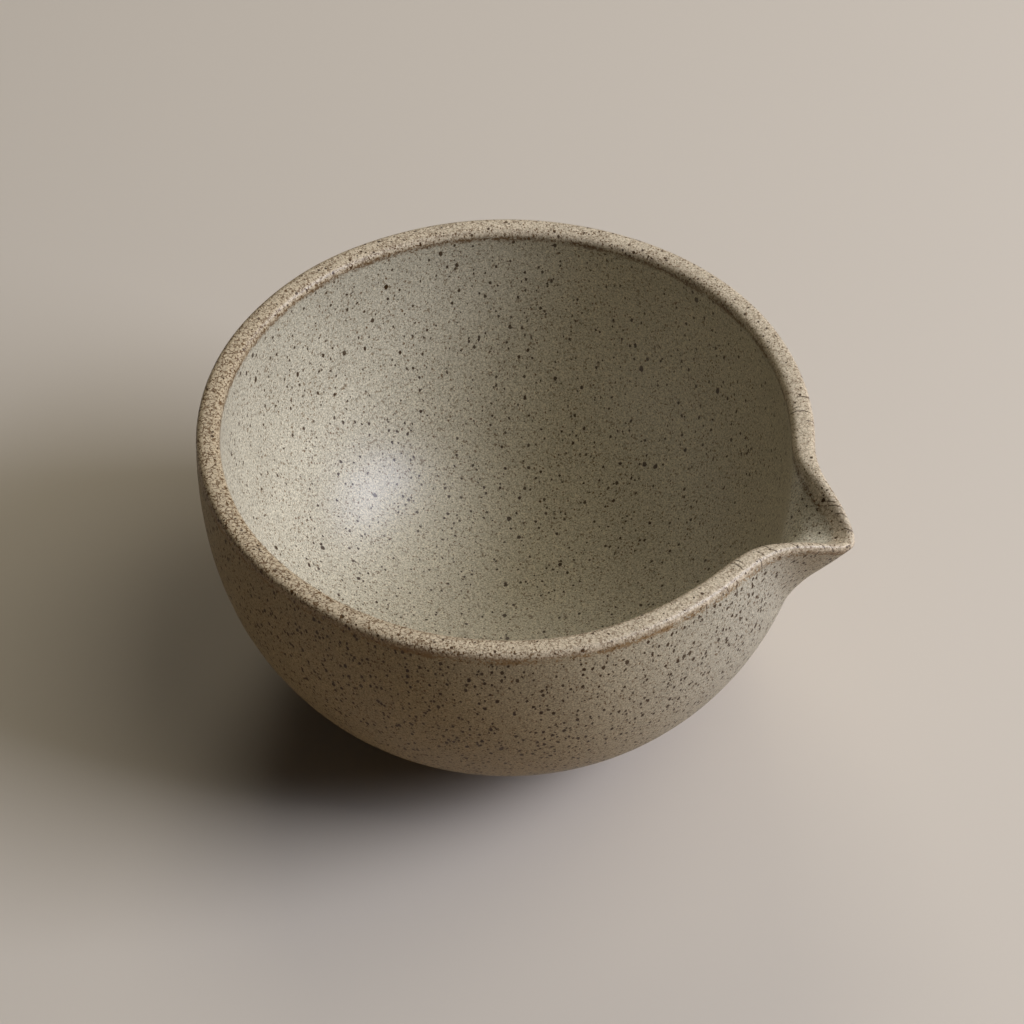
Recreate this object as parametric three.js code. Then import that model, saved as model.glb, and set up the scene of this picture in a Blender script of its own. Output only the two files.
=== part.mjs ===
// Hand-thrown pouring bowl in speckled stoneware, with one pulled spout.
// The fired clay carries three coats of glaze: inside, outside and over the lip.
// Millimetres, +Z up. The origin is the centre of the foot's resting face and the spout points along +X.

import * as THREE from "three";

// Bowl
const rimRadius = 65;
const bowlHeight = 73;
const lipThickness = 5;
const lipRise = 2;
const lipSquareness = 2.8;
const floorThickness = 7.5;

// Foot, a flat turned disc of bare clay
const footRadius = 27;
const footHeight = 3;
const footBevel = 0.8;
const bareBand = 4;

// Curve of the outer wall: how it leaves the foot and how it meets the lip
const footFlare = THREE.MathUtils.degToRad(17);
const footHandle = 31;
const lipLean = THREE.MathUtils.degToRad(3.7);
const lipHandle = 31;

// Spout, pulled out of the wall: how far it reaches out at the lip, and how its end droops
const spoutReach = 11.6;
const spoutTipThickness = 3.1;
const spoutTipRise = 1.4;
const spoutTipRound = 3.6;
const spoutDroop = 4.1;
const droopPower = 1.8;

// The beak is the spout's outside and the channel its inside; the depth is counted down from the lip
const beakDepth = 26.5;
const beakPower = 0.8;
const beakHalfAngle = THREE.MathUtils.degToRad(37.7);
const beakBlend = 4.7;
const channelDepth = 17;
const channelPower = 1.2;
const channelHalfAngle = THREE.MathUtils.degToRad(29);
const channelBlend = 9;

// Slight hollow of the wall on both sides of the spout, where the fingers pressed
const pressDepth = 0.8;
const pressAngle = THREE.MathUtils.degToRad(25);
const pressWidth = THREE.MathUtils.degToRad(21);

// Glaze coats
const glazeThickness = 0.4;
const glazeFit = 0.3;
const coatJoint = 0.3;

// Fineness of the faceted surfaces
const ringSides = 64;
const spoutShare = 0.36;
const wallSteps = 9;
const lipSteps = 5;
const floorSteps = 2;

const wallTop = bowlHeight - lipRise;
const clayInset = glazeThickness + glazeFit;
const tipRadius = rimRadius + spoutReach;

// Each side of the wall has its own spout outline; the inner one leaves the wall's thickness at the tip
const outerSide = {
  reach: spoutReach,
  depth: beakDepth,
  power: beakPower,
  halfAngle: beakHalfAngle,
  blend: beakBlend,
};
const innerSide = {
  reach: spoutReach + lipThickness - spoutTipThickness,
  depth: channelDepth,
  power: channelPower,
  halfAngle: channelHalfAngle,
  blend: channelBlend,
};

// Angles round the bowl, closest together at the spout
function ringAngles() {
  const angles = [];
  for (let i = 0; i < ringSides; i += 1) {
    const turn = (2 * i) / ringSides - 1;
    angles.push(Math.PI * turn * (spoutShare + (1 - spoutShare) * Math.abs(turn)));
  }
  return angles;
}

const angles = ringAngles();

// The larger of two lengths, with a rounded change-over where they differ by less than blend
function smoothMax(a, b, blend) {
  const closeness = Math.max(blend - Math.abs(a - b), 0) / blend;
  return Math.max(a, b) + (closeness * closeness * blend) / 4;
}

// How far one side of the spout has been pulled at a height: 0 at its root, 1 at the lip
function spoutPull(height, side) {
  const rise = THREE.MathUtils.clamp((height - wallTop + side.depth) / side.depth, 0, 1);
  return rise ** side.power;
}

// Radius of the wall at one angle: a circle, pressed in beside the spout, blended into a rounded V.
// The V counts only up to where its sides come closest to the axis.
function wallRadius(circle, angle, pull, side) {
  const offset = (Math.abs(angle) - pressAngle) / pressWidth;
  const pressed = circle - pressDepth * pull * Math.exp(-offset * offset);
  if (pull === 0 || Math.abs(angle) > Math.PI / 2 - side.halfAngle) {
    return pressed;
  }
  const slope = Math.tan(side.halfAngle);
  const round = spoutTipRound / tipRadius;
  const spread = Math.hypot(Math.sin(angle), round) + Math.cos(angle) * slope;
  const tip = circle - side.blend + (side.reach + side.blend) * pull;
  return smoothMax(pressed, (tip * (round + slope)) / spread, side.blend);
}

// One ring of points at a height; the spout's end droops as it reaches out
function wallRing(circle, height, pull, side) {
  return angles.map((angle) => {
    const radius = wallRadius(circle, angle, pull, side);
    const reached = Math.max(radius - circle, 0) / side.reach;
    const droop = spoutDroop * reached ** droopPower;
    return new THREE.Vector3(radius * Math.cos(angle), radius * Math.sin(angle), height - droop);
  });
}

function plainRing(radius, height) {
  return wallRing(radius, height, 0, outerSide);
}

function pole(height) {
  return [new THREE.Vector3(0, 0, height)];
}

// Profile of the outer wall, from the foot's top edge to the underside of the lip's rounding
function outerCurve() {
  const foot = new THREE.Vector2(footRadius, footHeight);
  const top = new THREE.Vector2(rimRadius, wallTop);
  const leave = new THREE.Vector2(Math.cos(footFlare), Math.sin(footFlare));
  const meet = new THREE.Vector2(Math.sin(lipLean), -Math.cos(lipLean));
  return new THREE.CubicBezierCurve(
    foot,
    foot.clone().addScaledVector(leave, footHandle),
    top.clone().addScaledVector(meet, lipHandle),
    top,
  );
}

// Point of the inner wall opposite a point of the outer one, the wall's thickness away
function innerPoint(curve, share) {
  const along = curve.getTangentAt(share);
  const thinning = THREE.MathUtils.smoothstep(share, 0, 1);
  const thickness = THREE.MathUtils.lerp(floorThickness, lipThickness, thinning);
  return curve.getPointAt(share).addScaledVector(new THREE.Vector2(-along.y, along.x), thickness);
}

function footRings() {
  return [
    pole(0),
    plainRing(footRadius - footBevel, 0),
    plainRing(footRadius, footBevel),
    plainRing(footRadius, footHeight),
  ];
}

function outerRings(curve, shares) {
  return shares.map((share) => {
    const point = curve.getPointAt(share);
    return wallRing(point.x, point.y, spoutPull(point.y, outerSide), outerSide);
  });
}

function innerRings(curve, shares) {
  return shares.map((share) => {
    const point = innerPoint(curve, share);
    return wallRing(point.x, point.y, spoutPull(curve.getPointAt(share).y, innerSide), innerSide);
  });
}

// How far the lip stands above the top rings of the walls: less and less as the spout reaches out
function lipRiseAt(point) {
  const reached = Math.max(Math.hypot(point.x, point.y) - rimRadius, 0) / spoutReach;
  return THREE.MathUtils.lerp(lipRise, spoutTipRise, reached ** droopPower);
}

// Squarish rounding of the lip between the top rings of both walls; share runs from 0 outside to 1 inside.
// At both ends it stands one coat joint above those rings.
function lipPoint(outer, inner, share) {
  const power = 2 / lipSquareness;
  const rise = lipRiseAt(outer);
  const start = Math.asin((coatJoint / rise) ** (1 / power));
  const turn = THREE.MathUtils.lerp(start, Math.PI - start, share);
  const aside = Math.sign(Math.cos(turn)) * Math.abs(Math.cos(turn)) ** power;
  const point = outer.clone().lerp(inner, (1 - aside) / 2);
  point.z += rise * Math.sin(turn) ** power;
  return point;
}

function lipRings(outerTop, innerTop) {
  const rings = [];
  for (let i = 0; i <= lipSteps; i += 1) {
    rings.push(outerTop.map((point, j) => lipPoint(point, innerTop[j], i / lipSteps)));
  }
  return rings;
}

// Shallow dish of the floor, from the foot of the inner wall to the axis, level at the axis
function floorRings(curve) {
  const edge = innerPoint(curve, 0);
  const slope = Math.tan(footFlare);
  const centre = edge.y - (slope * edge.x) / 2;
  const rings = [];
  for (let i = floorSteps; i > 0; i -= 1) {
    const radius = (edge.x * i) / floorSteps;
    rings.push(plainRing(radius, centre + (slope * radius * radius) / (2 * edge.x)));
  }
  rings.push(pole(centre));
  return rings;
}

// Outward direction at each point of a ring, from its neighbours along and across the rings
function ringNormals(rings, index) {
  const ring = rings[index];
  if (ring.length === 1) {
    return [new THREE.Vector3(0, 0, index === 0 ? -1 : 1)];
  }
  const at = (candidate, j) => candidate[candidate.length === 1 ? 0 : (j + ringSides) % ringSides];
  return ring.map((_, j) => {
    const around = at(ring, j + 1).clone().sub(at(ring, j - 1));
    const along = at(rings[index + 1], j).clone().sub(at(rings[index - 1], j));
    return around.cross(along).normalize();
  });
}

// Two coats end square to each other where their end rings share one direction at each angle
function shareNormals(ring, neighbour) {
  ring.normals.forEach((normal, j) => {
    normal.add(neighbour.normals[j]).normalize();
    neighbour.normals[j].copy(normal);
  });
}

// The finished surface as rings, in order: foot, outer wall, lip, inner wall, floor
function makeForm() {
  const curve = outerCurve();
  const glazeStart = bareBand / curve.getLength();
  const upwards = [];
  for (let i = 0; i <= wallSteps; i += 1) {
    upwards.push(THREE.MathUtils.lerp(glazeStart, 1, i / wallSteps));
  }
  const outer = outerRings(curve, upwards);
  const inner = innerRings(curve, upwards.toReversed());
  const foot = footRings();
  const rings = [...foot, ...outer, ...lipRings(outer.at(-1), inner[0]), ...inner, ...floorRings(curve)];
  const lipStart = foot.length + outer.length;
  const innerStart = lipStart + lipSteps + 1;
  const surface = rings.map((ring, i) => ({ points: ring, normals: ringNormals(rings, i) }));
  shareNormals(surface[lipStart - 1], surface[lipStart]);
  shareNormals(surface[innerStart - 1], surface[innerStart]);
  return {
    surface,
    outer: [foot.length, lipStart],
    lip: [lipStart, innerStart],
    inner: [innerStart, rings.length],
  };
}

function sunk(ring, depth) {
  return ring.points.map((point, j) => point.clone().addScaledVector(ring.normals[j], -depth));
}

// Two triangles of a four-cornered patch, cut from its first or its second corner; flat ones are left out
function splitQuad([a, b, c, d], cutsFirst) {
  const triangles = cutsFirst ? [[a, b, c], [a, c, d]] : [[a, b, d], [b, c, d]];
  return triangles.filter(([p, q, r]) => p !== q && q !== r && r !== p).flat();
}

// Closed body through rings in order; a ring of one point closes an end, and a loop joins last to first.
// Each patch is cut along its shorter diagonal, so that a coat's faces follow the clay's.
function ringBody(rings, isLoop) {
  const positions = rings.flat().flatMap((point) => [point.x, point.y, point.z]);
  const starts = [];
  let count = 0;
  for (const ring of rings) {
    starts.push(count);
    count += ring.length;
  }
  const faces = [];
  const lastJoin = isLoop ? rings.length : rings.length - 1;
  for (let i = 0; i < lastJoin; i += 1) {
    const next = (i + 1) % rings.length;
    for (let j = 0; j < ringSides; j += 1) {
      const after = (j + 1) % ringSides;
      const [a, b] = rings[i].length === 1 ? [0, 0] : [j, after];
      const [d, c] = rings[next].length === 1 ? [0, 0] : [j, after];
      const corners = [starts[i] + a, starts[i] + b, starts[next] + c, starts[next] + d];
      const cutsFirst = rings[i][a].distanceTo(rings[next][c]) < rings[i][b].distanceTo(rings[next][d]);
      faces.push(...splitQuad(corners, cutsFirst));
    }
  }
  const geometry = new THREE.BufferGeometry();
  geometry.setAttribute("position", new THREE.Float32BufferAttribute(positions, 3));
  geometry.setIndex(faces);
  geometry.computeVertexNormals();
  return geometry;
}

// The clay keeps the finished surface at the bare foot and lies under the glaze everywhere else
function clayGeometry(form) {
  const glazedFrom = form.outer[0];
  return ringBody(form.surface.map((ring, i) => sunk(ring, i < glazedFrom ? 0 : clayInset)), false);
}

// A coat that ends at both edges, as the outer and the lip coat do
function bandGeometry(form, [first, end]) {
  const rings = form.surface.slice(first, end);
  const face = rings.map((ring) => sunk(ring, 0));
  const back = rings.map((ring) => sunk(ring, glazeThickness)).reverse();
  return ringBody([...face, ...back], true);
}

// The inner coat is a dish: from its back's centre out to the edge and in again over its face
function dishGeometry(form, [first, end]) {
  const rings = form.surface.slice(first, end);
  const face = rings.map((ring) => sunk(ring, 0));
  const back = rings.map((ring) => sunk(ring, glazeThickness)).reverse();
  return ringBody([...back, ...face], false);
}

function stoneware() {
  return new THREE.MeshStandardMaterial({ color: 0x9a8468, roughness: 0.85, metalness: 0 });
}

function greyGlaze() {
  return new THREE.MeshStandardMaterial({ color: 0xa5a08c, roughness: 0.42, metalness: 0 });
}

function warmGlaze() {
  return new THREE.MeshStandardMaterial({ color: 0xa79d88, roughness: 0.55, metalness: 0 });
}

function brokenGlaze() {
  return new THREE.MeshStandardMaterial({ color: 0xb9a68a, roughness: 0.5, metalness: 0 });
}

function piece(name, geometry, material) {
  const mesh = new THREE.Mesh(geometry, material);
  mesh.name = name;
  return mesh;
}

const form = makeForm();
const bowl = new THREE.Group();
bowl.name = "spouted_bowl";
bowl.add(piece("stoneware_body", clayGeometry(form), stoneware()));
bowl.add(piece("inner_glaze", dishGeometry(form, form.inner), greyGlaze()));
bowl.add(piece("outer_glaze", bandGeometry(form, form.outer), warmGlaze()));
bowl.add(piece("lip_glaze", bandGeometry(form, form.lip), brokenGlaze()));

export default bowl;
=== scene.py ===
"""Speckled stoneware pouring bowl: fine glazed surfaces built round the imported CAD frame.

Sizes are in millimetres and angles in degrees until a mesh is made; the frame itself is in metres.
"""
import math

import bpy
import numpy as np
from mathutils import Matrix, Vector


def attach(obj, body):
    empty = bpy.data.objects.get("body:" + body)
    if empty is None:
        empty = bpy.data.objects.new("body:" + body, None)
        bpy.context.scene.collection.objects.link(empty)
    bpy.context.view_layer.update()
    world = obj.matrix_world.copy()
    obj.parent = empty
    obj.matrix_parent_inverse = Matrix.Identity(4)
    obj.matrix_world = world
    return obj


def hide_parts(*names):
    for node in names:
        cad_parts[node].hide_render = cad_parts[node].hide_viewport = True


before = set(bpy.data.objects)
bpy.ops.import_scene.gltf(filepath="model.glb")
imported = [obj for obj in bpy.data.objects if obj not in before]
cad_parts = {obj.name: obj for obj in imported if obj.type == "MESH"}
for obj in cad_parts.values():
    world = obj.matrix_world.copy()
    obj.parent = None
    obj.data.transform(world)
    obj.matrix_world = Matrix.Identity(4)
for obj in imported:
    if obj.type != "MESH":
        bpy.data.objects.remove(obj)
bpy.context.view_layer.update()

MM = 0.001
TAU = 2 * math.pi

# Driving sizes of the CAD model
RIM_RADIUS = 65.0
BOWL_HEIGHT = 73.0
LIP_THICKNESS = 5.0
LIP_RISE = 2.0
LIP_SQUARENESS = 2.8
FLOOR_THICKNESS = 7.5
FOOT_RADIUS = 27.0
FOOT_HEIGHT = 3.0
FOOT_BEVEL = 0.8
BARE_BAND = 4.0
FOOT_FLARE = math.radians(17)
FOOT_HANDLE = 31.0
LIP_LEAN = math.radians(3.7)
LIP_HANDLE = 31.0
SPOUT_REACH = 11.6
SPOUT_TIP_THICKNESS = 3.1
SPOUT_TIP_RISE = 1.4
SPOUT_TIP_ROUND = 3.6
SPOUT_DROOP = 4.1
DROOP_POWER = 1.8
BEAK_DEPTH = 26.5
BEAK_POWER = 0.8
BEAK_HALF_ANGLE = math.radians(37.7)
BEAK_BLEND = 4.7
CHANNEL_DEPTH = 17.0
CHANNEL_POWER = 1.2
CHANNEL_HALF_ANGLE = math.radians(29)
CHANNEL_BLEND = 9.0
PRESS_DEPTH = 0.8
PRESS_ANGLE = math.radians(25)
PRESS_WIDTH = math.radians(21)

WALL_TOP = BOWL_HEIGHT - LIP_RISE
TIP_RADIUS = RIM_RADIUS + SPOUT_REACH
OUTER_SIDE = (SPOUT_REACH, BEAK_HALF_ANGLE, BEAK_BLEND)
INNER_SIDE = (SPOUT_REACH + LIP_THICKNESS - SPOUT_TIP_THICKNESS, CHANNEL_HALF_ANGLE, CHANNEL_BLEND)

# Fineness of the visible surfaces; SPOUT_SHARE packs the sides of the rings closer at the spout, and the
# clay under the coats keeps one ring in CLAY_STRIDE
RING_SIDES = 560
SPOUT_SHARE = 0.36
OUTER_STEPS = 76
LIP_STEPS = 18
INNER_STEPS = 66
FLOOR_STEPS = 12
FOOT_STEPS = 60
BAND_STEPS = 6
CLAY_STRIDE = 3

# The lip's rings in the spout's throat are smoothed: rings taken in below the lip, rounds, share of each
# step, and how far the spout reaches out where it is done in full
THROAT_STEPS = 5
THROAT_ROUNDS = 60
THROAT_EASE = 0.5
THROAT_FULL = 0.5

# Glaze: depth of a coat's back and of the clay's face, and length of the edge rolled down to the foot
COAT_DEPTH = 0.45
CLAY_DEPTH = 0.40
COAT_ROLL = 0.8
ROLL_SHARES = (0.0, 0.04, 0.14, 0.32, 0.6, 1.0)

# A thrown bowl isn't quite round or level: waves round the bowl, phase, millimetres at the rim
ROUNDNESS = ((2, 40, 0.07), (3, 205, 0.06), (5, 310, 0.05), (9, 80, 0.035), (14, 10, 0.02))
LEVEL = ((2, 120, 0.06), (3, 20, 0.05), (7, 250, 0.04), (11, 100, 0.03))
GLAZE_LINE = ((2, 75, 0.35), (3, 300, 0.3), (5, 160, 0.22), (11, 30, 0.12), (23, 200, 0.06))

# Marks of the throwing on the walls, which fade towards the floor's centre
THROWING_PITCH = 5.2
THROWING_DEPTH = 0.012
THROWING_FADE = 8.0

# Underside of the foot: the turning tool's marks, full from TURNING_START out, and a slight hollow, which
# ends between two distances from the edge of the flat face
TURNING_PITCH = 2.3
TURNING_DEPTH = 0.09
TURNING_START = 2.5
FOOT_HOLLOW = 0.35
HOLLOW_FROM, HOLLOW_TO = 4.5, 1.5

# Rings round the foot's edge: (inset from the foot's radius, height)
FOOT_EDGE = ((0.5, 0.06), (0.25, 0.22), (0.08, 0.5), (0.0, FOOT_BEVEL), (0.0, 1.6), (0.0, 2.4))


def ring_angles():
    turn = 2 * np.arange(RING_SIDES) / RING_SIDES - 1
    return math.pi * turn * (SPOUT_SHARE + (1 - SPOUT_SHARE) * np.abs(turn))


ANGLES = ring_angles()
COS, SIN = np.cos(ANGLES), np.sin(ANGLES)


def waves(table):
    return sum(size * np.cos(count * ANGLES + math.radians(phase)) for count, phase, size in table)


def smoothstep(low, high, x):
    t = np.clip((x - low) / (high - low), 0, 1)
    return t * t * (3 - 2 * t)


def smooth_max(a, b, blend):
    closeness = np.maximum(blend - np.abs(a - b), 0) / blend
    return np.maximum(a, b) + closeness ** 2 * blend / 4


def spout_pull(height, depth, power):
    return np.clip((height - WALL_TOP + depth) / depth, 0, 1) ** power


def wall_radius(circle, pull, side):
    """Radius of the wall by angle: a circle, pressed in beside the spout, blended into a rounded V."""
    reach, half_angle, blend = side
    offset = (np.abs(ANGLES) - PRESS_ANGLE) / PRESS_WIDTH
    pressed = circle - PRESS_DEPTH * pull * np.exp(-offset ** 2)
    slope = math.tan(half_angle)
    rounding = SPOUT_TIP_ROUND / TIP_RADIUS
    aside = (np.abs(ANGLES) > math.pi / 2 - half_angle) | (pull <= 0)
    spread = np.where(aside, 1, np.hypot(SIN, rounding) + COS * slope)
    beak = (circle - blend + (reach + blend) * pull) * (rounding + slope) / spread
    return np.where(aside, pressed, smooth_max(pressed, beak, blend))


def wall_ring(circle, height, pull, side):
    """Points of one ring; circle, height and pull are numbers or arrays over the angles."""
    lift = smoothstep(FOOT_HEIGHT, WALL_TOP, height)
    thrown = THROWING_DEPTH * np.sin(TAU * height / THROWING_PITCH + ANGLES)
    circle = circle + waves(ROUNDNESS) * lift + thrown * smoothstep(0, THROWING_FADE, circle)
    radius = wall_radius(circle, pull, side)
    reached = np.maximum(radius - circle, 0) / side[0]
    z = height - SPOUT_DROOP * reached ** DROOP_POWER + waves(LEVEL) * lift ** 2
    return np.stack([radius * COS, radius * SIN, z + 0 * ANGLES], axis=1)


def flat_ring(radius, height):
    return np.stack([radius * COS, radius * SIN, height + 0 * ANGLES], axis=1)


class WallCurve:
    """Outer wall's profile, from the foot's top edge to the lip, read by its share of the length."""

    def __init__(self, samples=4000):
        t = np.linspace(0, 1, samples)[:, None]
        foot = np.array([FOOT_RADIUS, FOOT_HEIGHT])
        top = np.array([RIM_RADIUS, WALL_TOP])
        leave = foot + FOOT_HANDLE * np.array([math.cos(FOOT_FLARE), math.sin(FOOT_FLARE)])
        meet = top + LIP_HANDLE * np.array([math.sin(LIP_LEAN), -math.cos(LIP_LEAN)])
        lower = (1 - t) ** 3 * foot + 3 * (1 - t) ** 2 * t * leave
        self.points = lower + 3 * (1 - t) * t ** 2 * meet + t ** 3 * top
        steps = np.linalg.norm(np.diff(self.points, axis=0), axis=1)
        self.length = steps.sum()
        self.shares = np.concatenate([[0], np.cumsum(steps)]) / self.length
        tangents = np.gradient(self.points, self.shares, axis=0)
        self.tangents = tangents / np.linalg.norm(tangents, axis=1)[:, None]

    def outer(self, share):
        return [np.interp(share, self.shares, self.points[:, k]) for k in (0, 1)]

    def inner(self, share):
        x, z = self.outer(share)
        along_x, along_z = [np.interp(share, self.shares, self.tangents[:, k]) for k in (0, 1)]
        thickness = FLOOR_THICKNESS + (LIP_THICKNESS - FLOOR_THICKNESS) * smoothstep(0, 1, share)
        return x - along_z * thickness, z + along_x * thickness


CURVE = WallCurve()
GLAZE_START = (BARE_BAND + waves(GLAZE_LINE)) / CURVE.length


def foot_rings():
    """Underside of the foot, hollowed a little and grooved by the turning tool, then its edge."""
    rings, flat = [], FOOT_RADIUS - FOOT_BEVEL
    for i in range(FOOT_STEPS):
        radius = flat * i / (FOOT_STEPS - 1)
        groove = TURNING_DEPTH * (0.5 + 0.5 * np.sin(TAU * radius / TURNING_PITCH - ANGLES))
        inside = 1 - smoothstep(flat - HOLLOW_FROM, flat - HOLLOW_TO, radius)
        centre = smoothstep(0, TURNING_START, radius)
        rings.append(flat_ring(radius, (FOOT_HOLLOW + groove * centre) * inside))
    for inset, height in FOOT_EDGE:
        rings.append(flat_ring(FOOT_RADIUS - inset, height))
    return rings


def outer_ring(share):
    x, z = CURVE.outer(share)
    return wall_ring(x, z, spout_pull(z, BEAK_DEPTH, BEAK_POWER), OUTER_SIDE)


def inner_ring(share):
    x, z = CURVE.inner(share)
    pull = spout_pull(CURVE.outer(share)[1], CHANNEL_DEPTH, CHANNEL_POWER)
    return wall_ring(x, z, pull, INNER_SIDE)


def spout_reached(outer_top):
    """How far the spout reaches out at each angle, as a share of its reach."""
    return np.maximum(np.hypot(outer_top[:, 0], outer_top[:, 1]) - RIM_RADIUS, 0) / SPOUT_REACH


def lip_rings(outer_top, inner_top):
    """Squarish rounding of the lip, which gets lower as the spout reaches out."""
    reached = spout_reached(outer_top)
    rise = LIP_RISE + (SPOUT_TIP_RISE - LIP_RISE) * reached ** DROOP_POWER
    rings = []
    for i in range(1, LIP_STEPS):
        turn = math.pi * i / LIP_STEPS
        power = 2 / LIP_SQUARENESS
        aside = math.copysign(abs(math.cos(turn)) ** power, math.cos(turn))
        between = outer_top + (inner_top - outer_top) * (1 - aside) / 2
        between[:, 2] += rise * math.sin(turn) ** power
        rings.append(between)
    return rings


def floor_rings():
    edge_radius, edge_height = CURVE.inner(0.0)
    slope = math.tan(FOOT_FLARE)
    rings = []
    for i in range(FLOOR_STEPS - 1, -1, -1):
        radius = edge_radius * i / FLOOR_STEPS
        sunk = slope * (edge_radius ** 2 - radius ** 2) / (2 * edge_radius)
        rings.append(wall_ring(radius, edge_height - sunk, np.float64(0), OUTER_SIDE))
    return rings


def ring_normals(rings):
    """Outward directions at each ring but the first and last, from the neighbours of each point."""
    rings = np.asarray(rings)
    around = np.roll(rings, -1, axis=1) - np.roll(rings, 1, axis=1)
    along = np.zeros_like(rings)
    along[1:-1] = rings[2:] - rings[:-2]
    normals = np.cross(around, along)
    length = np.linalg.norm(normals, axis=2, keepdims=True)
    return normals / np.maximum(length, 1e-12)


class Form:
    """The finished surface as rings from the foot's centre to the floor's centre, with its directions.

    across is measured along the wall from the lip's crest, negative outside and positive inside;
    around is measured along the crest from the spout's tip, the same on both sides.
    """

    def __init__(self):
        foot = foot_rings()
        band = [outer_ring(GLAZE_START * i / BAND_STEPS) for i in range(BAND_STEPS)]
        roll = COAT_ROLL / CURVE.length
        starts = [GLAZE_START + roll * share for share in ROLL_SHARES]
        steps = [i / OUTER_STEPS for i in range(1, OUTER_STEPS + 1)]
        starts += [(GLAZE_START + roll) * (1 - step) + step for step in steps]
        outer = [outer_ring(share) for share in starts]
        shares = [1 - i / INNER_STEPS for i in range(INNER_STEPS + 1)]
        inner = [inner_ring(share) for share in shares] + floor_rings()
        lip = lip_rings(outer[-1], inner[0])
        self.rings = np.array(foot + band + outer + lip + inner)
        self.glaze = len(foot) + len(band)
        self.lip = self.glaze + len(outer) - 1
        self.inside = self.lip + LIP_STEPS
        self.soften_throat(outer[-1])
        self.normals = ring_normals(self.rings)
        self.normals[0], self.normals[-1] = (0, 0, -1), (0, 0, 1)
        steps = np.linalg.norm(np.diff(self.rings, axis=0), axis=2)
        travelled = np.concatenate([np.zeros((1, RING_SIDES)), np.cumsum(steps, axis=0)])
        crest = self.lip + LIP_STEPS // 2
        self.across = travelled - travelled[crest]
        top = self.rings[crest]
        length = np.concatenate([[0], np.cumsum(np.linalg.norm(np.diff(top, axis=0), axis=1))])
        self.around = np.abs(length - np.interp(0, ANGLES, length))

    def soften_throat(self, outer_top):
        """The channel runs up into the lip without a corner: its rings are worn smooth along the flow."""
        reached = spout_reached(outer_top)
        first, end = self.lip + LIP_STEPS // 2, self.inside + THROAT_STEPS
        place = np.linspace(0, 1, end - first)
        share = np.sin(math.pi * place)[:, None] * smoothstep(0, THROAT_FULL, reached)[None, :]
        for _ in range(THROAT_ROUNDS):
            middle = (self.rings[first - 1:end - 1] + self.rings[first + 1:end + 1]) / 2
            self.rings[first:end] += THROAT_EASE * share[:, :, None] * (middle - self.rings[first:end])

    def sunk(self, first, end, depth):
        return self.rings[first:end] - depth * self.normals[first:end]


FORM = Form()


def add_object(name, data):
    thing = bpy.data.objects.new(name, data)
    bpy.context.scene.collection.objects.link(thing)
    return thing


def build_piece(name, rings, across, is_loop, node, normals=None):
    """Closed body through rings in order. An end ring whose points all meet becomes one point."""
    points, starts, marks, directions = [], [], [], []
    for i, ring in enumerate(rings):
        is_pole = np.ptp(ring[:, :2]) < 1e-6
        starts.append((len(points), is_pole))
        kept = ring[:1] if is_pole else ring
        points.extend(kept * MM)
        marks.extend(zip(across[i][:len(kept)], FORM.around[:len(kept)]))
        if normals is not None:
            directions.extend(normals[i][:len(kept)])
    faces = []
    joins = len(rings) if is_loop else len(rings) - 1
    for i in range(joins):
        (low, low_pole), (high, high_pole) = starts[i], starts[(i + 1) % len(rings)]
        for j in range(RING_SIDES):
            after = (j + 1) % RING_SIDES
            if low_pole:
                faces.append((low, high + after, high + j))
            elif high_pole:
                faces.append((low + j, low + after, high))
            else:
                faces.append((low + j, low + after, high + after, high + j))
    mesh = bpy.data.meshes.new(name)
    mesh.from_pydata([tuple(p) for p in points], [], faces)
    mesh.polygons.foreach_set("use_smooth", [True] * len(faces))
    for k, label in enumerate(("across", "around")):
        layer = mesh.attributes.new(label, "FLOAT", "POINT")
        layer.data.foreach_set("value", [float(m[k]) for m in marks])
    if normals is not None:
        mesh.normals_split_custom_set_from_vertices([tuple(d) for d in directions])
    piece = add_object(name, mesh)
    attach(piece, "root")
    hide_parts(node)
    return piece


def rolled_face():
    """Outer coat's face, whose lower edge rolls down to the clay, and the directions on it."""
    first, end = FORM.glaze, FORM.lip + 1
    from_edge = FORM.across[first:end] - FORM.across[first]
    short = 1 - np.clip(from_edge / COAT_ROLL, 0, 1)
    depth = COAT_DEPTH * (1 - np.sqrt(np.maximum(1 - short ** 2, 0)))
    face = FORM.rings[first:end] - depth[:, :, None] * FORM.normals[first:end]
    before = FORM.rings[first + 1] - COAT_DEPTH * FORM.normals[first + 1]
    normals = ring_normals(np.concatenate([[before], face, FORM.rings[end:end + 1]]))[1:-1]
    return face, normals


def make_coats():
    across, normals = FORM.across, FORM.normals
    first, end = FORM.glaze, FORM.lip + 1
    face, leaning = rolled_face()
    back = FORM.sunk(first + 1, end, COAT_DEPTH)[::-1]
    outer = build_piece(
        "outer_glaze_coat", np.concatenate([face, back]),
        np.concatenate([across[first:end], across[first + 1:end][::-1]]), True,
        "outer_glaze",
        np.concatenate([leaning, -normals[first + 1:end][::-1]]),
    )
    first, end = FORM.lip, FORM.inside + 1
    lip = build_piece(
        "lip_glaze_coat",
        np.concatenate([FORM.rings[first:end], FORM.sunk(first, end, COAT_DEPTH)[::-1]]),
        np.concatenate([across[first:end], across[first:end][::-1]]), True,
        "lip_glaze",
        np.concatenate([normals[first:end], -normals[first:end][::-1]]),
    )
    first, end = FORM.inside, len(FORM.rings)
    inner = build_piece(
        "inner_glaze_coat",
        np.concatenate([FORM.sunk(first, end, COAT_DEPTH)[::-1], FORM.rings[first:end]]),
        np.concatenate([across[first:end][::-1], across[first:end]]), False,
        "inner_glaze",
        np.concatenate([-normals[first:end][::-1], normals[first:end]]),
    )
    return outer, lip, inner


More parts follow.
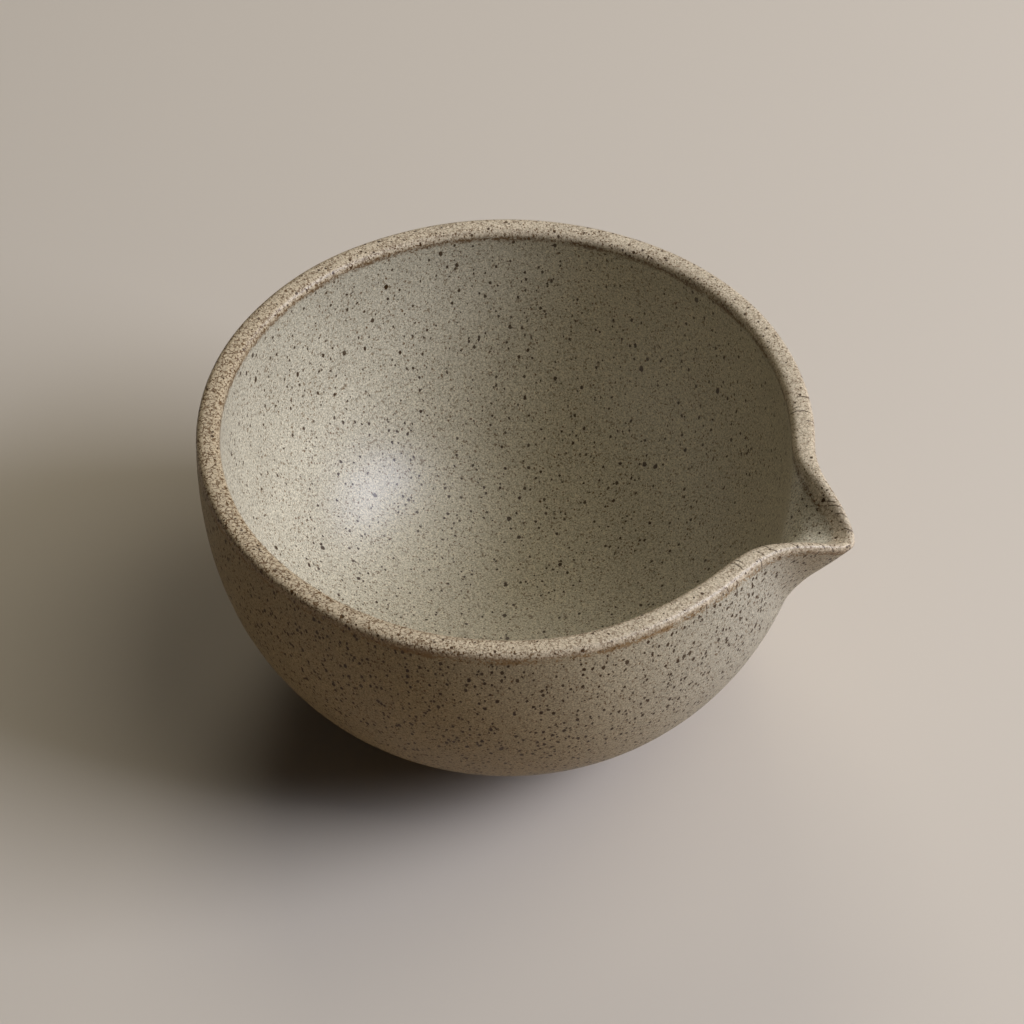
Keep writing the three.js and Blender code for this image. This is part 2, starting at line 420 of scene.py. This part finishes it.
def make_clay():
    """Fired clay: bare at the foot, and just under the coats everywhere else."""
    band = np.linspace(0, 1, BAND_STEPS + 1)
    depth = np.full(len(FORM.rings), CLAY_DEPTH)
    depth[:FORM.glaze - BAND_STEPS] = 0
    depth[FORM.glaze - BAND_STEPS:FORM.glaze + 1] = CLAY_DEPTH * smoothstep(0, 1, band)
    rings = FORM.rings - depth[:, None, None] * FORM.normals
    last = len(rings) - 1
    kept = np.r_[0:FORM.glaze + 1, FORM.glaze + 1:last:CLAY_STRIDE, last]
    return build_piece("clay_body", rings[kept], FORM.across[kept], False, "stoneware_body")


class Shader:
    """A node material; its helpers return output sockets. Positions in it are in millimetres."""

    def __init__(self, name):
        self.material = bpy.data.materials.new(name)
        self.material.use_nodes = True
        self.tree = self.material.node_tree
        self.surface = self.tree.nodes["Principled BSDF"]
        place = self.node("ShaderNodeTexCoord").outputs["Object"]
        self.place = self.vector("SCALE", place, scale=1 / MM)

    def node(self, kind, **settings):
        node = self.tree.nodes.new(kind)
        for key, value in settings.items():
            setattr(node, key, value)
        return node

    def feed(self, socket, value):
        if isinstance(value, bpy.types.NodeSocket):
            self.tree.links.new(value, socket)
        elif isinstance(value, (tuple, list)) and len(value) == 3 and socket.type == "RGBA":
            socket.default_value = (*value, 1)
        else:
            socket.default_value = value

    def math(self, operation, a, b=0.0, clamp=False):
        node = self.node("ShaderNodeMath", operation=operation, use_clamp=clamp)
        self.feed(node.inputs[0], a)
        self.feed(node.inputs[1], b)
        return node.outputs[0]

    def vector(self, operation, a, b=None, scale=None):
        node = self.node("ShaderNodeVectorMath", operation=operation)
        self.feed(node.inputs[0], a)
        if b is not None:
            self.feed(node.inputs[1], b)
        if scale is not None:
            self.feed(node.inputs["Scale"], scale)
        return node.outputs["Value" if operation == "LENGTH" else "Vector"]

    def noise(self, place, size, detail=2.0, roughness=0.5, output="Fac"):
        """Noise whose features are about size millimetres."""
        node = self.node("ShaderNodeTexNoise")
        self.feed(node.inputs["Vector"], place)
        self.feed(node.inputs["Scale"], 1 / size)
        self.feed(node.inputs["Detail"], detail)
        self.feed(node.inputs["Roughness"], roughness)
        return node.outputs[output]

    def step(self, value, low, high, to_low=0.0, to_high=1.0):
        node = self.node("ShaderNodeMapRange", interpolation_type="SMOOTHSTEP")
        for name, given in (("Value", value), ("From Min", low), ("From Max", high),
                            ("To Min", to_low), ("To Max", to_high)):
            self.feed(node.inputs[name], given)
        return node.outputs["Result"]

    def blend(self, factor, a, b, mode="MIX"):
        node = self.node("ShaderNodeMix", data_type="RGBA", blend_type=mode)
        self.feed(node.inputs["Factor"], factor)
        self.feed(node.inputs[6], a)
        self.feed(node.inputs[7], b)
        return node.outputs[2]

    def tint(self, colour, by):
        return self.blend(1.0, colour, by, "MULTIPLY")

    def bent_place(self, size, reach):
        """Positions pushed about by a fine noise: what is drawn at them gets ragged edges."""
        push = self.noise(self.place, size, 2.0, 0.6, "Color")
        push = self.vector("SUBTRACT", push, (0.5, 0.5, 0.5))
        return self.vector("ADD", self.place, self.vector("SCALE", push, scale=reach))

    def attribute(self, name):
        return self.node("ShaderNodeAttribute", attribute_name=name).outputs["Fac"]

    def specks(self, place, cell, smallest, largest, share, soft, offset):
        """Round spots scattered in the body: (how much of a spot is here, a random number per spot)."""
        moved = self.vector("ADD", place, offset)
        node = self.node("ShaderNodeTexVoronoi")
        self.feed(node.inputs["Vector"], moved)
        self.feed(node.inputs["Scale"], 1 / cell)
        apart = self.math("MULTIPLY", node.outputs["Distance"], cell)
        picks = self.node("ShaderNodeSeparateColor")
        self.feed(picks.inputs[0], node.outputs["Color"])
        bias = self.math("POWER", picks.outputs[1], SPECK_BIAS)
        radius = self.math("ADD", self.math("MULTIPLY", bias, largest - smallest), smallest)
        inner_edge = self.math("MULTIPLY", radius, 1 - soft)
        spot = self.step(apart, inner_edge, radius, 1.0, 0.0)
        kept = self.math("LESS_THAN", picks.outputs[0], share)
        return self.math("MULTIPLY", spot, kept), picks.outputs[2]

    def bump(self, height, depth, normal=None):
        node = self.node("ShaderNodeBump")
        self.feed(node.inputs["Height"], height)
        self.feed(node.inputs["Strength"], 1.0)
        self.feed(node.inputs["Distance"], depth * MM)
        if normal is not None:
            self.feed(node.inputs["Normal"], normal)
        return node.outputs[0]


# Colours of the glaze and of the clay (linear)
INSIDE = (0.524, 0.470, 0.342)
# The outside glaze is painted darker and browner than the inside: painted shade of the outer wall
OUTSIDE_PAINTED_SHADE = (0.415, 0.350, 0.222)
# By the spout it is painted lighter and cooler: painted light on the side facing the lamps
OUTSIDE_FLANK_PAINTED_LIGHT = (0.475, 0.435, 0.325)
# Pale lip: painted light where light falls on the lip from behind; the tan is the thin glaze's own colour
LIP_PALE_PAINTED_LIGHT = (0.592, 0.492, 0.340)
LIP_TAN = (0.515, 0.408, 0.256)
FINE_BROWN = (0.170, 0.112, 0.055)
SPOT_BROWN = (0.115, 0.055, 0.014)
SPOT_DARK = (0.040, 0.016, 0.002)
RUST_OUTSIDE = (0.255, 0.155, 0.062)
# Rust inside the crest is a darker copy of the outside rust: painted shade of the lip's inner flank
RUST_INSIDE_WITH_PAINTED_SHADE = (0.140, 0.070, 0.022)
CRACK = (0.055, 0.030, 0.012)
CLAY_BROWN = (0.300, 0.205, 0.125)
CLAY_BUFF = (0.385, 0.280, 0.180)
SAND = (0.55, 0.46, 0.34)

# Material and specular level of each coat, in the order of make_coats
GLAZES = (("outside_glaze", 0.20), ("lip_glaze_thin", 0.34), ("inside_glaze", 0.60))
GLAZE_IOR = 1.5

# Specks: (body cell mm, smallest and largest radius mm, share of cells, soft share of radius, offset)
FINE_SPECKS = (0.70, 0.13, 0.27, 1.00, 0.40, (3.0, 7.0, 11.0))
MEDIUM_SPECKS = (1.20, 0.17, 0.40, 0.58, 0.25, (13.0, 2.0, 5.0))
LARGE_SPECKS = (2.9, 0.36, 0.62, 0.32, 0.25, (23.0, 19.0, 8.0))
OUTSIDE_SPECKS = (1.15, 0.20, 0.50, 0.75, 0.25, (41.0, 6.0, 15.0))
EDGE_SPECKS = (0.95, 0.26, 0.52, 1.00, 0.40, (5.0, 31.0, 27.0))
LIP_SPECKS = (0.60, 0.12, 0.26, 1.00, 0.25, (17.0, 29.0, 2.0))
CLAY_SPECKS = (1.9, 0.18, 0.50, 0.60, 0.45, (3.0, 7.0, 11.0))
SAND_SPECKS = (1.6, 0.15, 0.40, 0.40, 0.40, (9.0, 1.0, 4.0))

# Small specks are likelier than large ones; the weakest of the fine and of the other specks
SPECK_BIAS = 1.6
WEAKEST_FINE = 0.6
WEAKEST = 0.9

# Specks are drawn out down the wall by the running glaze
RUN = 1.5

# The lip's own specks are sparse this near to the spout's tip, and full at three times that
SPOUT_CALM = 30.0
CALM_SHARE = 0.35

# Outside, the glaze is painted lighter and cooler at the spout, painted light on the side facing the
# lamps, and turns darker and browner, painted shade, over this stretch of the crest
LIT_FLANK_START, LIT_FLANK_END = 20.0, 75.0

# The lip is painted palest this far along its crest from the spout's tip, painted light where light falls
# on it from behind, and tans away from there
PALE_PLACE = 45.0
TAN_START, TAN_FULL = 60.0, 190.0

# Every noise below is (size mm, detail, roughness)

# Where the lip's thin glaze begins outside and ends inside, how much wider it is where it is tan, and how
# ragged its edges are
THIN_BEGINS = (-3.6, -2.9)
THIN_ENDS = (2.9, 3.5)
THIN_WIDENS = 0.7
RAGGED_NOISE = (1.3, 3.0, 0.65)
RAGGED_DEPTH = 2.2

# Where the outside's colours and its denser specks give way to the inside's
CREST = (-1.0, 1.0)
OUTSIDE_ENDS = (-4.2, -3.4)

# Rust along both edges of the thin glaze: where it begins and ends, and (patches from, to, least, most)
RUST_OUTER_EDGE = ((-4.9, -4.1), (-3.5, -2.7))
RUST_INNER_EDGE = ((2.9, 3.5), (3.9, 4.9))
RUST_OUTER_PATCHES = (0.45, 0.53, 0.08, 0.90)
RUST_INNER_PATCHES = (0.42, 0.56, 0.25, 0.90)
RUST_NOISE = (0.55, 3.0, 0.7)
RUST_OFFSET = (7.0, 41.0, 3.0)
DRIFT_NOISE = (7.0, 2.0)
DRIFT_OFFSET = (2.0, 9.0, 33.0)
DRIFT_SHARE = 0.5
RUST_AT_TIP = (2.0, 14.0, 0.35, 1.0)
RUST_DOTS = (0.2, 0.7)

# Dark lines are full up to this share of their half width
LINE_CORE = 0.5

# Net of thin dark lines in the tan glaze: cell and half width in mm, the share of that width where a line
# has faded out, its broken places, and how strong it is where the lip is pale
NET_CELL = 1.05
NET_WIDTH = 0.085
NET_FADE = 1.8
NET_BREAK_NOISE = (1.1, 2.0)
NET_BREAKS = (0.40, 0.58, 0.15, 1.0)
NET_PALE = 0.45
NET_STRENGTH = 0.9

# Hairline cracks across the lip beside the spout, where each lies in its pitch, and their middles and half
# lengths across the lip; they thin out over the last part of their reach from the spout's tip
CRACK_PITCH = 2.2
CRACK_REACH = 46.0
CRACK_THIN_FROM = 0.85
CRACK_WIDTH = 0.14
CRACK_FADE = 1.6
CRACK_WANDER = 1.3
CRACK_NOISE = (1.5, 2.0)
CRACK_PLACES = (0.2, 0.8)
CRACK_MIDDLES = (-4.4, 1.0)
CRACK_HALVES = (0.3, 2.2)
CRACK_TAPER = 0.4
CRACK_STRENGTH = 0.85

# Clouding and grain of the glaze, (grain from, to, darkest, lightest), the gentler one for the lip
CLOUD_NOISE = (14.0, 3.0, 0.55)
CLOUD_DARK, CLOUD_LIGHT = (0.90, 0.895, 0.89), (1.10, 1.10, 1.095)
GRAIN_NOISE = (0.36, 2.0, 0.7)
GRAIN = (0.25, 0.75, 0.52, 1.40)
LIP_GRAIN = (0.25, 0.75, 0.66, 1.26)

# Ragged drawing: size and reach of the noise that bends it
BEND_SIZE, BEND_REACH = 0.5, 0.6

# Brown freckles, and how strong they are: (noise from, to, least, most), and less on the lip
FRECKLE_OFFSET = (31.0, 5.0, 17.0)
FRECKLE_NOISE = (0.75, 2.0, 0.65)
FRECKLES = (0.575, 0.64)
FRECKLE_PATCH_NOISE = (2.2, 2.0)
FRECKLE_PATCHES = (0.38, 0.62, 0.30, 0.80)
FRECKLE_LIP_LOSS = 0.15

# Relief: depths in mm; the glaze's satin (cloud from, to, roughness), and how much duller it is outside
PEEL_NOISE = (1.3, 2.0, 0.5)
PEEL_DEPTH = 0.025
RELIEF_SHARE = 0.6
RELIEF_DEPTH = 0.016
LIP_RELIEF_DEPTH = 0.035
SATIN = (0.3, 0.7, 0.36, 0.41)
OUTSIDE_DULLER = 0.06


def signed_around(s):
    """Millimetres along the crest from the spout's tip, negative on the side of negative Y."""
    parts = s.node("ShaderNodeSeparateXYZ")
    s.feed(parts.inputs[0], s.place)
    return s.math("MULTIPLY", s.attribute("around"), s.math("SIGN", parts.outputs["Y"]))


def from_pale(s):
    return s.math("ABSOLUTE", s.math("SUBTRACT", signed_around(s), PALE_PLACE))


def zones(s):
    """Zones of the glaze: (across, its ragged version, how much this is lip glaze, colour)."""
    across = s.attribute("across")
    ragged = s.math("SUBTRACT", s.noise(s.place, *RAGGED_NOISE), 0.5)
    edge = s.math("ADD", across, s.math("MULTIPLY", ragged, RAGGED_DEPTH))
    over = s.step(edge, *THIN_BEGINS)
    wide = s.step(from_pale(s), TAN_START, TAN_FULL, 0.0, THIN_WIDENS)
    under = s.step(s.math("SUBTRACT", edge, wide), *THIN_ENDS, 1.0, 0.0)
    lip = s.math("MULTIPLY", over, under)
    # Painted light by the spout, giving way to painted shade further round the outside
    outside_lit_to_shaded = s.blend(s.step(s.attribute("around"), LIT_FLANK_START, LIT_FLANK_END), OUTSIDE_FLANK_PAINTED_LIGHT, OUTSIDE_PAINTED_SHADE)
    colour = s.blend(s.step(across, *CREST), outside_lit_to_shaded, INSIDE)
    # The lip's pale part is painted light; away from it the lip takes its own tan
    rim = s.blend(s.step(from_pale(s), TAN_START, TAN_FULL), LIP_PALE_PAINTED_LIGHT, LIP_TAN)
    return across, edge, lip, s.blend(lip, colour, rim)


def cracks(s, across):
    """Short dark hairlines over the lip beside the spout, each with its own place and length."""
    wander = s.math("SUBTRACT", s.noise(s.place, *CRACK_NOISE), 0.5)
    wander = s.math("MULTIPLY", wander, CRACK_WANDER)
    turns = s.math("DIVIDE", s.math("ADD", signed_around(s), wander), CRACK_PITCH)
    dice = s.node("ShaderNodeTexWhiteNoise", noise_dimensions="1D")
    s.feed(dice.inputs["W"], s.math("FLOOR", turns))
    rolls = s.node("ShaderNodeSeparateColor")
    s.feed(rolls.inputs[0], dice.outputs["Color"])
    place, middle, half = rolls.outputs
    off = s.math("SUBTRACT", s.math("FRACT", turns), s.step(place, 0.0, 1.0, *CRACK_PLACES))
    off = s.math("MULTIPLY", s.math("ABSOLUTE", off), CRACK_PITCH)
    line = s.step(off, CRACK_WIDTH * LINE_CORE, CRACK_WIDTH * CRACK_FADE, 1.0, 0.0)
    along = s.math("ABSOLUTE", s.math("SUBTRACT", across, s.step(middle, 0.0, 1.0, *CRACK_MIDDLES)))
    left = s.math("SUBTRACT", s.step(half, 0.0, 1.0, *CRACK_HALVES), along)
    line = s.math("MULTIPLY", line, s.step(left, 0.0, CRACK_TAPER))
    near = s.step(s.attribute("around"), CRACK_REACH * CRACK_THIN_FROM, CRACK_REACH, 1.0, 0.0)
    return s.math("MULTIPLY", line, near)


def net(s, place, lip):
    """Dark lines round small cells, broken up, on the thin glaze of the lip."""
    node = s.node("ShaderNodeTexVoronoi", feature="DISTANCE_TO_EDGE")
    s.feed(node.inputs["Vector"], place)
    s.feed(node.inputs["Scale"], 1 / NET_CELL)
    apart = s.math("MULTIPLY", node.outputs["Distance"], NET_CELL)
    line = s.step(apart, NET_WIDTH * LINE_CORE, NET_WIDTH * NET_FADE, 1.0, 0.0)
    line = s.math("MULTIPLY", line, s.step(s.noise(s.place, *NET_BREAK_NOISE), *NET_BREAKS))
    away = s.step(from_pale(s), TAN_START, TAN_FULL, NET_PALE, 1.0)
    return s.math("MULTIPLY", line, s.math("MULTIPLY", lip, away))


def rust_edges(s, edge, place):
    """Both edges of the lip's thin glaze: (how rusty it is here, how much of a dark dot this is)."""
    patchy = s.noise(s.vector("ADD", s.place, RUST_OFFSET), *RUST_NOISE)
    drift = s.noise(s.vector("ADD", s.place, DRIFT_OFFSET), *DRIFT_NOISE)
    drift = s.math("MULTIPLY", s.math("SUBTRACT", drift, 0.5), DRIFT_SHARE)
    patchy = s.math("ADD", patchy, drift)
    bands = []
    for (begins, ends), patches in (
        (RUST_OUTER_EDGE, RUST_OUTER_PATCHES), (RUST_INNER_EDGE, RUST_INNER_PATCHES),
    ):
        band = s.math("MULTIPLY", s.step(edge, *begins), s.step(edge, *ends, 1.0, 0.0))
        bands.append(s.math("MULTIPLY", band, s.step(patchy, *patches)))
    outer, inner = bands
    tip = s.step(s.attribute("around"), *RUST_AT_TIP)
    rusty = s.math("MAXIMUM", outer, s.math("MULTIPLY", inner, tip))
    spot, _ = s.specks(place, *EDGE_SPECKS)
    return rusty, s.math("MULTIPLY", spot, s.step(rusty, *RUST_DOTS))


def glaze(name, gloss):
    """One glaze for all three coats, which differ in gloss: its zones run on across their joints."""
    s = Shader(name)
    across, edge, lip, colour = zones(s)
    outside = s.step(across, *OUTSIDE_ENDS, 1.0, 0.0)

    cloud = s.noise(s.place, *CLOUD_NOISE)
    colour = s.tint(colour, s.blend(cloud, CLOUD_DARK, CLOUD_LIGHT))
    grain = s.noise(s.place, *GRAIN_NOISE)
    colour = s.tint(colour, s.blend(lip, s.step(grain, *GRAIN), s.step(grain, *LIP_GRAIN)))

    bent = s.bent_place(BEND_SIZE, BEND_REACH)
    run = s.vector("MULTIPLY", bent, (1.0, 1.0, 1 / RUN))

    freckle = s.noise(s.vector("ADD", bent, FRECKLE_OFFSET), *FRECKLE_NOISE)
    strength = s.step(s.noise(s.place, *FRECKLE_PATCH_NOISE), *FRECKLE_PATCHES)
    strength = s.math("SUBTRACT", strength, s.math("MULTIPLY", lip, FRECKLE_LIP_LOSS), clamp=True)
    colour = s.blend(s.math("MULTIPLY", s.step(freckle, *FRECKLES), strength), colour, FINE_BROWN)

    calm = s.step(s.attribute("around"), SPOUT_CALM, 3 * SPOUT_CALM, CALM_SHARE, 1.0)
    on_lip = s.math("MULTIPLY", lip, calm)
    spots = None
    for table, weakest, where, brown in (
        (FINE_SPECKS, WEAKEST_FINE, None, SPOT_BROWN),
        (LIP_SPECKS, WEAKEST, on_lip, SPOT_BROWN),
        (MEDIUM_SPECKS, WEAKEST, None, SPOT_DARK),
        (OUTSIDE_SPECKS, WEAKEST, outside, SPOT_DARK),
        (LARGE_SPECKS, WEAKEST, None, SPOT_DARK),
    ):
        spot, pick = s.specks(run, *table)
        spot = s.math("MULTIPLY", spot, s.step(pick, 0.0, 1.0, weakest))
        if where is not None:
            spot = s.math("MULTIPLY", spot, where)
        colour = s.blend(spot, colour, brown)
        spots = spot if spots is None else s.math("MAXIMUM", spots, spot)

    rusty, dotted = rust_edges(s, edge, bent)
    # Rust on both edges of the thin glaze; the inner edge's darker copy is painted shade
    colour = s.blend(rusty, colour, s.blend(s.step(across, *CREST), RUST_OUTSIDE, RUST_INSIDE_WITH_PAINTED_SHADE))
    mesh = net(s, bent, lip)
    drawn = s.math("MULTIPLY", s.math("MAXIMUM", mesh, dotted), NET_STRENGTH)
    colour = s.blend(drawn, colour, SPOT_BROWN)
    crack = cracks(s, across)
    colour = s.blend(s.math("MULTIPLY", crack, CRACK_STRENGTH), colour, CRACK)

    dents = s.math("MAXIMUM", spots, s.math("MAXIMUM", crack, mesh))
    relief = [s.math("MULTIPLY", height, RELIEF_SHARE) for height in (grain, dents)]
    normal = s.bump(s.noise(s.place, *PEEL_NOISE), PEEL_DEPTH)
    normal = s.bump(s.math("SUBTRACT", *relief), RELIEF_DEPTH, normal)
    normal = s.bump(s.math("MULTIPLY", s.math("SUBTRACT", grain, mesh), lip), LIP_RELIEF_DEPTH, normal)
    rough = s.math("ADD", s.step(cloud, *SATIN), s.math("MULTIPLY", outside, OUTSIDE_DULLER))

    s.feed(s.surface.inputs["Base Color"], colour)
    s.feed(s.surface.inputs["Roughness"], rough)
    s.feed(s.surface.inputs["Normal"], normal)
    s.surface.inputs["IOR"].default_value = GLAZE_IOR
    s.surface.inputs["Specular IOR Level"].default_value = gloss
    return s.material


# Bare clay: clouding, grain (from, to, darkest, lightest), ragged drawing, strength of its specks
CLAY_CLOUD_NOISE = (9.0, 3.0, 0.6)
CLAY_GRAIN_NOISE = (0.28, 3.0, 0.7)
CLAY_GRAIN = (0.3, 0.7, 0.78, 1.18)
CLAY_ROUGHNESS = (0.3, 0.7, 0.78, 0.92)
CLAY_BEND_SIZE, CLAY_BEND_REACH = 0.45, 0.5
CLAY_SPECK_STRENGTH, SAND_STRENGTH = 0.8, 0.5

# Its scratches by the turning tool: rad per mm outwards, a wander of that in rad, and depths in mm
SCRATCH_TURNS = 9.0
SCRATCH_WANDER = 6.0
SCRATCH_WANDER_SHARE = 0.06
SCRATCH_DEPTH = 0.04
CLAY_GRAIN_DEPTH = 0.09


def bare_clay():
    """Unglazed stoneware of the foot: buff brown, sandy, with iron specks and turning marks."""
    s = Shader("bare_stoneware")
    cloud = s.noise(s.place, *CLAY_CLOUD_NOISE)
    grain = s.noise(s.place, *CLAY_GRAIN_NOISE)
    colour = s.tint(s.blend(cloud, CLAY_BROWN, CLAY_BUFF), s.step(grain, *CLAY_GRAIN))
    bent = s.bent_place(CLAY_BEND_SIZE, CLAY_BEND_REACH)
    for table, strength, tint in (
        (CLAY_SPECKS, CLAY_SPECK_STRENGTH, SPOT_DARK), (SAND_SPECKS, SAND_STRENGTH, SAND),
    ):
        spot, _ = s.specks(bent, *table)
        colour = s.blend(s.math("MULTIPLY", spot, strength), colour, tint)
    radius = s.vector("LENGTH", s.vector("MULTIPLY", s.place, (1.0, 1.0, 0.0)))
    wander = s.noise(s.vector("MULTIPLY", s.place, (SCRATCH_WANDER_SHARE,) * 3), 1.0)
    turns = s.math("MULTIPLY", radius, SCRATCH_TURNS)
    scratch = s.math("SINE", s.math("ADD", turns, s.math("MULTIPLY", wander, SCRATCH_WANDER)))
    normal = s.bump(s.math("MULTIPLY", scratch, 0.5), SCRATCH_DEPTH)
    normal = s.bump(grain, CLAY_GRAIN_DEPTH, normal)
    s.feed(s.surface.inputs["Base Color"], colour)
    s.feed(s.surface.inputs["Roughness"], s.step(grain, *CLAY_ROUGHNESS))
    s.feed(s.surface.inputs["Normal"], normal)
    return s.material


# Photograph's view: directions are measured round the bowl from the spout
SPOUT_TURN = 23.38
CAMERA_ELEVATION = 44.48
CAMERA_DISTANCE = 0.6265
CAMERA_TARGET = Vector((0, 0, BOWL_HEIGHT * MM))
CAMERA_LENS = 105.47
CAMERA_SENSOR = 36.0
CAMERA_SHIFT = (0.0047, -0.0904)
CAMERA_CLIP = (0.01, 20)


def direction(turn, elevation):
    """Unit vector from the bowl: turn is counted from the photograph's right side, away being 90."""
    a, e = math.radians(turn + SPOUT_TURN), math.radians(elevation)
    return Vector((math.cos(a) * math.cos(e), math.sin(a) * math.cos(e), math.sin(e)))


def aim(thing, place, target):
    thing.location = place
    thing.rotation_euler = (target - place).to_track_quat("-Z", "Y").to_euler()


def make_camera():
    data = bpy.data.cameras.new("view")
    data.lens, data.sensor_width = CAMERA_LENS, CAMERA_SENSOR
    data.shift_x, data.shift_y = CAMERA_SHIFT
    data.clip_start, data.clip_end = CAMERA_CLIP
    camera = add_object("view", data)
    aim(camera, CAMERA_TARGET + CAMERA_DISTANCE * direction(-90, CAMERA_ELEVATION), CAMERA_TARGET)
    bpy.context.scene.camera = camera


# Studio; each lamp is (name, turn, elevation, distance m, width m, height m, watts, colour)
LAMP_TARGET = Vector((0, 0, 0.04))
COOL_LIGHT = (0.94, 1.00, 1.24)
WARM_LIGHT = (1.05, 1.00, 0.88)
LAMPS = (
    ("window", -9, 34, 1.5, 0.78, 0.70, 20.5, COOL_LIGHT),
    ("room", 4, 58, 1.5, 1.3, 1.3, 8.7, WARM_LIGHT),
    ("back", 95, 42, 1.5, 0.6, 0.6, 3.5, WARM_LIGHT),
)

# The floor is pale where it is seen, and throws a warmer light up onto the bowl
FLOOR_SHOWN = (0.60, 0.53, 0.43)
FLOOR_BOUNCE = (0.39, 0.260, 0.138)
FLOOR_ROUGHNESS = 0.9
FLOOR_SIDE = 6.0
SKY_COLOUR = (1.0, 0.985, 0.96)
SKY_LIGHT = 0.025


def background_rays(tree):
    """1 where the floor is seen, directly or in a gloss, and 0 where it lights something."""
    paths = tree.nodes.new("ShaderNodeLightPath")
    shown = paths.outputs["Is Camera Ray"]
    for name in ("Is Glossy Ray", "Is Transmission Ray"):
        either = tree.nodes.new("ShaderNodeMath")
        either.operation = "MAXIMUM"
        tree.links.new(shown, either.inputs[0])
        tree.links.new(paths.outputs[name], either.inputs[1])
        shown = either.outputs[0]
    return shown


def make_stage():
    for name, turn, elevation, distance, width, height, watts, colour in LAMPS:
        data = bpy.data.lights.new(name, "AREA")
        data.shape, data.size, data.size_y, data.energy = "RECTANGLE", width, height, watts
        data.color = colour
        aim(add_object(name, data), LAMP_TARGET + distance * direction(turn, elevation), LAMP_TARGET)
    half = FLOOR_SIDE / 2
    mesh = bpy.data.meshes.new("floor")
    corners = [(-half, -half, 0), (half, -half, 0), (half, half, 0), (-half, half, 0)]
    mesh.from_pydata(corners, [], [(0, 1, 2, 3)])
    floor = add_object("floor", mesh)
    s = Shader("floor_paper")
    s.feed(s.surface.inputs["Base Color"], s.blend(background_rays(s.tree), FLOOR_BOUNCE, FLOOR_SHOWN))
    s.feed(s.surface.inputs["Roughness"], FLOOR_ROUGHNESS)
    mesh.materials.append(s.material)

    world = bpy.data.worlds.new("studio")
    bpy.context.scene.world = world
    world.use_nodes = True
    sky = world.node_tree.nodes["Background"]
    sky.inputs["Color"].default_value = (*SKY_COLOUR, 1)
    sky.inputs["Strength"].default_value = SKY_LIGHT
    bpy.context.scene.view_settings.view_transform = "Standard"


make_camera()
for coat, (material_name, gloss) in zip(make_coats(), GLAZES):
    coat.data.materials.append(glaze(material_name, gloss))
make_clay().data.materials.append(bare_clay())
make_stage()
